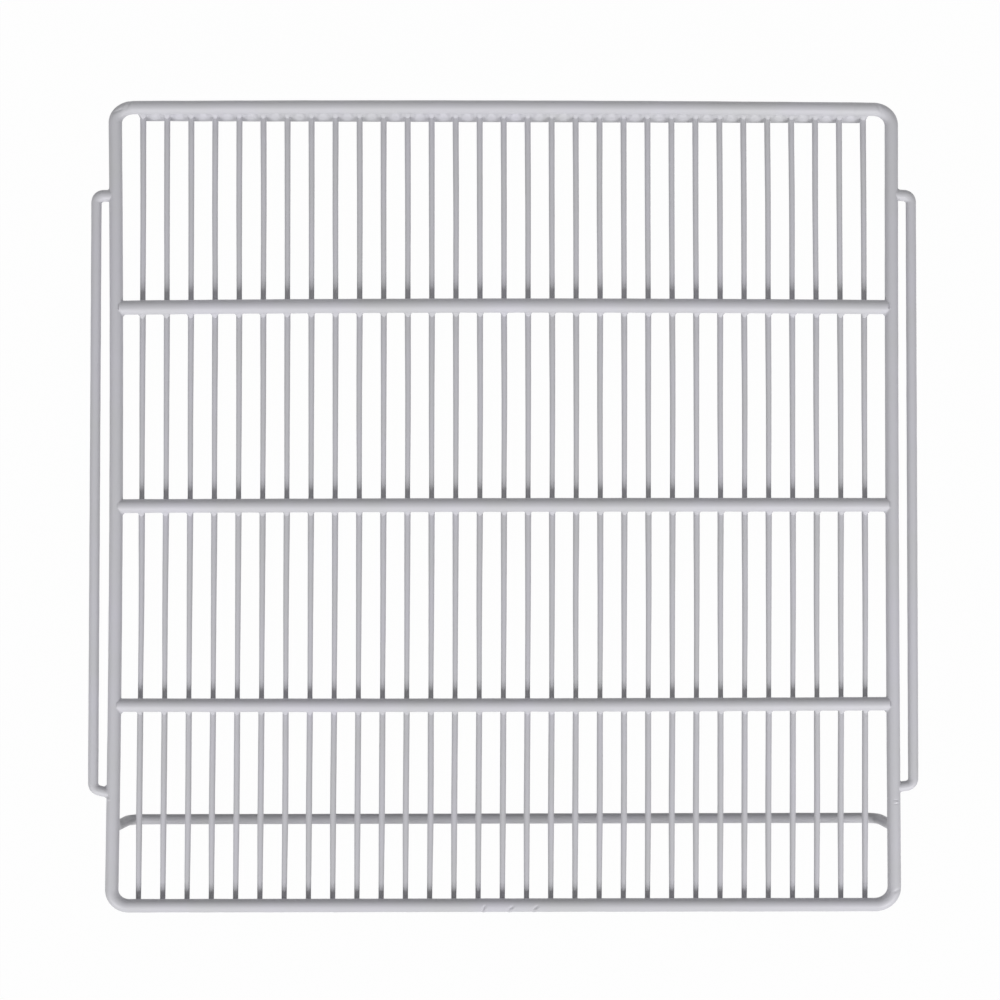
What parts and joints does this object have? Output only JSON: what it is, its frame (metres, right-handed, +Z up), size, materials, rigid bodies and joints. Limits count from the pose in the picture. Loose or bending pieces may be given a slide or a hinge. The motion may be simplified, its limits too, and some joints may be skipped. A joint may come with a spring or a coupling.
{
  "type": "refrigerator shelf",
  "caption": "Plastic-coated welded wire shelf with a bent perimeter frame, cross wires, closely spaced deck wires, a lip wire, a U-shaped stop wire standing square to the deck and a runner wire on each side.",
  "frame": {"origin": "centre of the shelf's outline, level with the underside of the stop wire's rail", "axes": "+X to the right across the shelf, runner to runner; +Y to the rear, towards the lip wire; +Z up, out of the face that the picture shows, where the frame and the cross wires lie on the deck wires: the underside in use, with the stop wire standing up behind the goods"},
  "size_m": [0.53, 0.52, 0.0577],
  "materials": {
    "coated_wire": "satin light grey plastic coating over welded steel wire"
  },
  "bodies": {
    "root": {"perimeter_frame": "coated_wire", "cross_wire_front": "coated_wire", "cross_wire_middle": "coated_wire", "cross_wire_rear": "coated_wire", "lip_wire": "coated_wire", "stop_wire": "coated_wire", "side_runner_left": "coated_wire", "side_runner_right": "coated_wire", "deck_wire_01": "coated_wire", "deck_wire_02": "coated_wire", "deck_wire_03": "coated_wire", "deck_wire_04": "coated_wire", "deck_wire_05": "coated_wire", "deck_wire_06": "coated_wire", "deck_wire_07": "coated_wire", "deck_wire_08": "coated_wire", "deck_wire_09": "coated_wire", "deck_wire_10": "coated_wire", "deck_wire_11": "coated_wire", "deck_wire_12": "coated_wire", "deck_wire_13": "coated_wire", "deck_wire_14": "coated_wire", "deck_wire_15": "coated_wire", "deck_wire_16": "coated_wire", "deck_wire_17": "coated_wire", "deck_wire_18": "coated_wire", "deck_wire_19": "coated_wire", "deck_wire_20": "coated_wire", "deck_wire_21": "coated_wire", "deck_wire_22": "coated_wire", "deck_wire_23": "coated_wire", "deck_wire_24": "coated_wire", "deck_wire_25": "coated_wire", "deck_wire_26": "coated_wire", "deck_wire_27": "coated_wire", "deck_wire_28": "coated_wire", "deck_wire_29": "coated_wire", "deck_wire_30": "coated_wire", "deck_wire_31": "coated_wire"}
  },
  "joints": []
}
